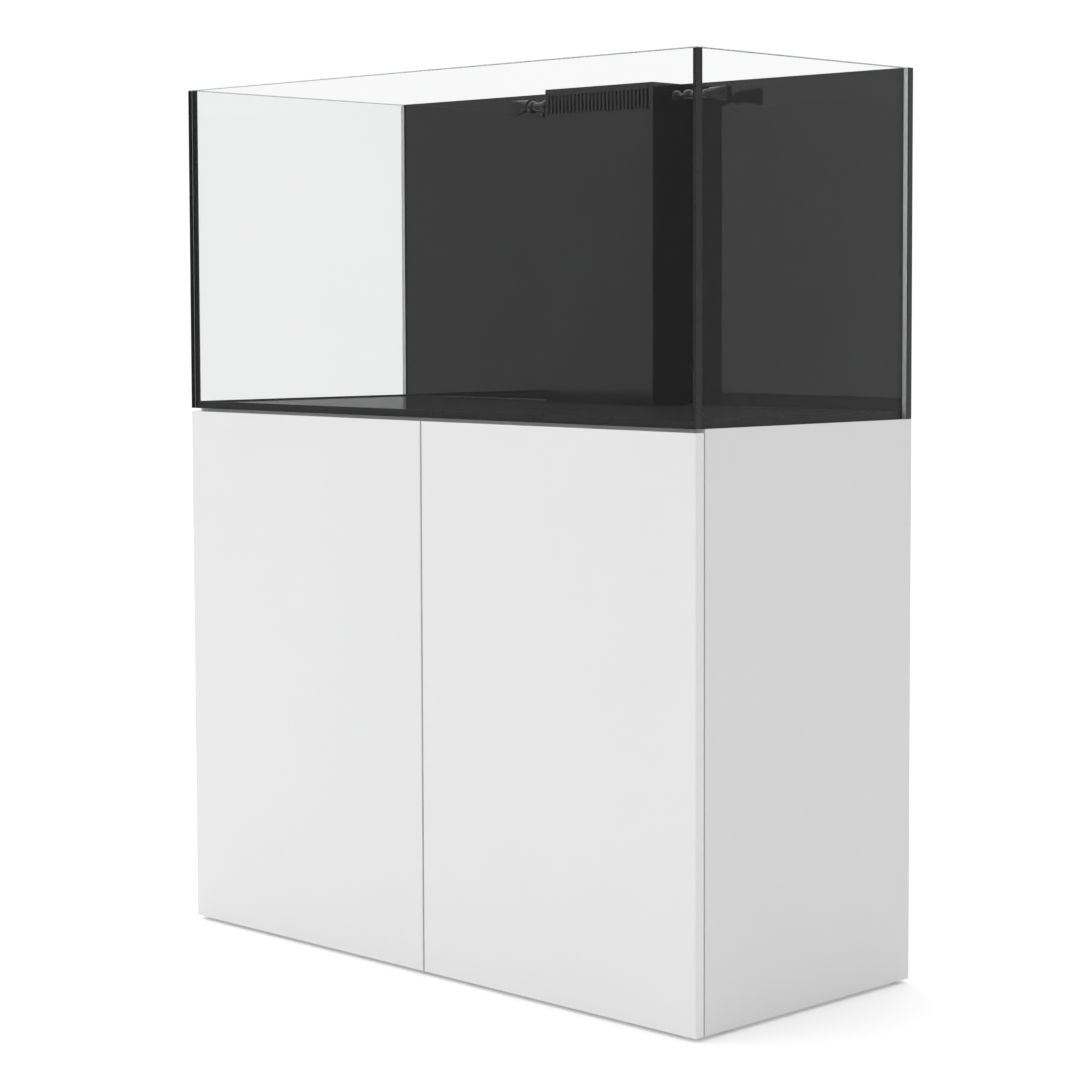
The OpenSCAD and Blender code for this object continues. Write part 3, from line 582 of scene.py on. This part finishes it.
def lathe(bm, place, axis, profile, segments=24):
    """Solid turned about the axis through place.

    The profile is (radius, height, sides) in mm; sides is 0 for a round section.
    """
    turn = Vector(axis).to_track_quat("Z", "Y")
    rings = []
    for radius, height, sides in profile:
        ring = []
        for i in range(segments if radius else 1):
            angle = 2 * math.pi * i / segments
            reach = radius * MM
            if sides:
                step = math.pi / sides
                reach *= math.cos(step) / math.cos(angle % (2 * step) - step)
            spot = Vector((reach * math.cos(angle), reach * math.sin(angle), height * MM))
            ring.append(bm.verts.new(Vector(place) + turn @ spot))
        rings.append(ring)
    for lower, upper in zip(rings, rings[1:]):
        for i in range(segments):
            corners = [lower[i % len(lower)], lower[(i + 1) % len(lower)],
                       upper[(i + 1) % len(upper)], upper[i % len(upper)]]
            bm.faces.new(list(dict.fromkeys(corners)))


def add_screw(bm, place, axis, r):
    """Domed head with a hexagon socket; r is its radius in mm."""
    lathe(bm, place, axis, [(0, -0.1, 0), (r, -0.1, 0), (r, 0.35 * r, 0), (0.9 * r, 0.55 * r, 0),
                            (0.62 * r, 0.7 * r, 0), (0.5 * r, 0.7 * r, 6), (0.47 * r, 0.62 * r, 6),
                            (0.45 * r, 0.15 * r, 6), (0, 0.1 * r, 0)])


def hinge_heights(low, high, half_mm):
    """Heights of the three hinges, from the box of parts that reach half_mm past them."""
    ends = (low[2] + half_mm * MM, high[2] - half_mm * MM)
    return (ends[0], sum(ends) / 2, ends[1])


def inner_side(low, high, inset_mm):
    """The x, inset_mm into the box, of the hinge box's side nearest the cabinet's middle."""
    return low[0] + inset_mm * MM if low[0] > 0 else high[0] - inset_mm * MM


def cup_screws(bm, low, high):
    """Two screws in each cup's flange."""
    inset, cup_half, spacing, head = 8.5, 26, 21, 2.8
    x = inner_side(low, high, inset)
    for z in hinge_heights(low, high, cup_half):
        for offset in (-spacing, spacing):
            add_screw(bm, (x, high[1] - 0.1 * MM, z + offset * MM), (0, 1, 0), head)


def arm_screws(bm, low, high):
    """The two adjusting screws of each hinge arm."""
    inset, arm_half, head = 1.5, 6.5, 2.4
    x = inner_side(low, high, inset)
    inward = -1 if low[0] > 0 else 1
    for z in hinge_heights(low, high, arm_half):
        for back in (20, 40):
            add_screw(bm, (x, high[1] - back * MM, z), (inward, 0, 0), head)


def pump_screws(bm, _low, high):
    """Six screws round the pump's cover."""
    axis = JOINT["impeller_spin"]["pos_m"]
    circle = 35 * MM
    for i in range(6):
        angle = math.radians(60 * i + 30)
        place = (axis[0] + circle * math.cos(angle), high[1], axis[2] + circle * math.sin(angle))
        add_screw(bm, place, (0, 1, 0), 2.6)


def valve_screws(bm, low, _high):
    """Four screws on top of the gate valve's flat body."""
    axis = JOINT["knob_turn"]["pos_m"]
    aside, above, head = 17.5, 9, 1.9
    for side in (-1, 1):
        for back in (5, 17):
            place = (axis[0] + side * aside * MM, low[1] + back * MM, axis[2] + above * MM)
            add_screw(bm, place, (0, 0, 1), head)


def fillet_bead(bm, start, end, a, b, leg_mm):
    """Uneven hollowed bead of silicone from start to end, in the corner between a and b."""
    start, end = Vector(start), Vector(end)
    ring_spacing = 12 * MM
    overlap = 0.1 * MM
    unevenness = 0.14
    count = max(2, int((end - start).length / ring_spacing))
    rings = []
    for i in range(count + 1):
        corner = start.lerp(end, i / count) - (a + b) * overlap
        leg = leg_mm * MM * (1 + unevenness * noise.noise(corner * 31))
        ring = [bm.verts.new(corner)]
        for k in range(7):
            angle = math.radians(15 * k)
            hollow = a * (1 - math.sin(angle)) + b * (1 - math.cos(angle))
            ring.append(bm.verts.new(corner + hollow * leg))
        rings.append(ring)
    for lower, upper in zip(rings, rings[1:]):
        for k in range(8):
            bm.faces.new((lower[k], lower[(k + 1) % 8], upper[(k + 1) % 8], upper[k]))
    bm.faces.new(rings[0])
    bm.faces.new(rings[-1][::-1])


def sump_beads(bm, low, high):
    """Beads in the sump's four corners and round its floor."""
    wall, below_rim, leg = 6 * MM, 4 * MM, 4
    x0, x1 = low[0] + wall, high[0] - wall
    y0, y1 = low[1] + wall, high[1] - wall
    floor, top = low[2], high[2] - below_rim
    x_dir, y_dir, up = Vector((1, 0, 0)), Vector((0, 1, 0)), Vector((0, 0, 1))
    for x, a in ((x0, x_dir), (x1, -x_dir)):
        for y, b in ((y0, y_dir), (y1, -y_dir)):
            fillet_bead(bm, (x, y, floor), (x, y, top), a, b, leg)
        fillet_bead(bm, (x, y0, floor), (x, y1, floor), a, up, leg)
    for y, b in ((y0, y_dir), (y1, -y_dir)):
        fillet_bead(bm, (x0, y, floor), (x1, y, floor), up, b, leg)
    bmesh.ops.recalc_face_normals(bm, faces=bm.faces)


# ---------- felt filter sock ----------

SEAM_ANGLE = math.radians(-75)
HEM_MM = 13
FELT_MM = 2.6
SOCK_R_MM = 47.6
SOCK_SIDES = 128
STITCHES_ROUND = 84


def turns(count):
    """Angles that share a full turn equally."""
    return [2 * math.pi * i / count for i in range(count)]


def sock_radius(angle, depth):
    """Outer radius of the hanging felt, in mm, at a depth in mm below its top."""
    slack = min(depth / 70, 1.0)
    around = Vector((math.cos(angle), math.sin(angle), 0))
    folds = noise.noise(around * 2.1 + Vector((0, 0, depth * 0.009)))
    creases = noise.noise(around * 5.5 + Vector((0, 0, 9 + depth * 0.03)))
    off = (angle - SEAM_ANGLE + math.pi) % (2 * math.pi) - math.pi
    seam = math.exp(-(off / 0.045) ** 2)
    hem = 1.0 - min(max((depth - HEM_MM) / 1.5, 0.0), 1.0)
    return SOCK_R_MM + slack * (2.0 * folds + 0.9 * creases) + 1.7 * seam + 0.9 * hem


def make_sock():
    """Sewn felt bag: thick hem, lapped side seam, slack folds, bottom with its seam outside."""
    low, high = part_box("filter_sock")
    middle = ((low[0] + high[0]) / 2, (low[1] + high[1]) / 2)
    length = (high[2] - low[2]) / MM
    bottom = length - 4.5

    def spot(angle, radius, depth):
        return Vector((middle[0] + radius * MM * math.cos(angle),
                       middle[1] + radius * MM * math.sin(angle), high[2] - depth * MM))

    def ring(bm, depth, out=0.0, share=1.0, sag=0.0):
        """Points round the bag, out from its surface or at a share of its radius, hung by sag."""
        return [bm.verts.new(spot(angle, (sock_radius(angle, depth) + out) * share, depth + sag))
                for angle in turns(SOCK_SIDES)]

    def dip(share):
        """How far the bottom sags at a share of its radius, in mm."""
        return 4.0 * (1 - share ** 2)

    depths = [0.0, 0.8, 3, 6, 9, 12, 13, 14, 15, 18] + [24 + 5.0 * i for i in range(35)]
    wall = [depth for depth in depths if depth < length - 12]
    foot_seam = [(length - 9, 0.6), (length - 7.5, 2.2), (length - 6, 2.6), (length - 5, 1.6),
                 (bottom, -1.0)]
    shares = (0.85, 0.6, 0.35, 0.12)

    bag = bmesh.new()
    outer = [ring(bag, depth) for depth in wall]
    outer += [ring(bag, depth, out) for depth, out in foot_seam]
    outer += [ring(bag, bottom, share=share, sag=dip(share)) for share in shares]
    inner = [ring(bag, bottom, share=share, sag=dip(share) - FELT_MM) for share in shares[::-1]]
    inner += [ring(bag, depth, -FELT_MM) for depth in wall[::-1]]
    pairs = [*zip(outer, outer[1:]), *zip(inner, inner[1:]), (inner[-1], outer[0])]
    for near, far in pairs:
        for i in range(SOCK_SIDES):
            k = (i + 1) % SOCK_SIDES
            bag.faces.new((near[i], near[k], far[k], far[i]))
    bag.faces.new(outer[-1])
    bag.faces.new(inner[0][::-1])
    bmesh.ops.recalc_face_normals(bag, faces=bag.faces)
    stand_for("filter_sock", bag, "sock_bag")

    sewing = bmesh.new()

    def surface(angle, depth, lift=0.15):
        return spot(angle, sock_radius(angle, depth) + lift, depth)

    def stitch(start, end):
        along = end - start
        size = along.length / MM
        lathe(sewing, start, along, [(0, 0, 0), (0.4, 0.3, 0), (0.5, size / 2, 0),
                                     (0.4, size - 0.3, 0), (0, size, 0)], 8)

    def stitch_round(depth, lift=0.15):
        for i in range(STITCHES_ROUND):
            a, b = (2 * math.pi * (i + share) / STITCHES_ROUND for share in (0.1, 0.8))
            stitch(surface(a, depth, lift), surface(b, depth, lift))

    stitch_round(3.5)
    stitch_round(HEM_MM - 3.0)
    stitch_length, stitch_step = 2.8, 4.0
    for off in (-0.028, 0.028):
        depth = HEM_MM + 4.0
        while depth < length - 14:
            stitch(surface(SEAM_ANGLE + off, depth),
                   surface(SEAM_ANGLE + off, depth + stitch_length))
            depth += stitch_step
    stitch_round(length - 9, 0.85)
    stitches = object_from(sewing, "sock_stitches", [THREAD])
    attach(stitches, "sock")


def make_pieces():
    """Every piece, from the glass outside to the small parts inside."""
    for node in ("front_pane", "left_pane", "right_pane"):
        glass_pane(node)
    for node in ("front_seams", "rear_seams", "floor_seam"):
        silicone_seam(node)
    sump_glass()
    make_sock()
    special = {
        "bottom_pane": dict(width_mm=0.4, segments=1, materials=[FLOOR_GLASS]),
        "sump_seams": dict(width_mm=0.15, segments=1, details=sump_beads),
        "pump_housing": dict(width_mm=0.6, details=pump_screws),
        "gate_valve": dict(width_mm=0.6, details=valve_screws),
        "left_hinge_cups": dict(width_mm=0.25, details=cup_screws),
        "right_hinge_cups": dict(width_mm=0.25, details=cup_screws),
        "left_hinge_arms": dict(width_mm=0.3, details=arm_screws),
        "right_hinge_arms": dict(width_mm=0.3, details=arm_screws),
    }
    edge_widths_mm = {
        0.15: ("hinge_screws", "pump_impeller"),
        0.3: ("hinge_plates", "cam_locks", "sump_baffles", "sock_shelf", "valve_gate",
              "left_latch_plunger", "right_latch_plunger"),
        0.4: ("weir_comb", "return_riser", "drain_standpipe", "emergency_standpipe",
              "bulkhead_gaskets", "left_nozzle_base", "left_nozzle_link", "left_nozzle_tip",
              "right_nozzle_base", "right_nozzle_link", "right_nozzle_tip"),
        0.5: ("overflow_box", "left_side_panel", "right_side_panel", "top_panel",
              "bottom_panel", "back_panel", "front_rail", "centre_post", "drain_line",
              "emergency_line", "return_line", "latch_housings"),
        0.8: ("back_pane", "bulkheads", "bulkhead_nuts", "floor_glides", "cable_grommets",
              "sock_ring"),
        1.0: ("left_door", "right_door", "door_bumpers", "valve_knob"),
    }
    for node, choices in special.items():
        finished(node, **choices)
    for width, nodes in edge_widths_mm.items():
        for node in nodes:
            finished(node, width, segments=3 if width > 0.5 else 2)


make_camera()
make_world()
make_light("softbox", size=(3.0, 2.0), power=25.0, place=(-1.6, -2.2, 3.4), aim=(0.0, 0.0, 0.8))
make_floor()
make_pieces()
for node_name, cad in frame["nodes"].items():
    cad.data.materials.clear()
    cad.data.materials.append(MATERIALS[SLOT_OF[node_name]])

bpy.context.scene.view_settings.view_transform = "Standard"
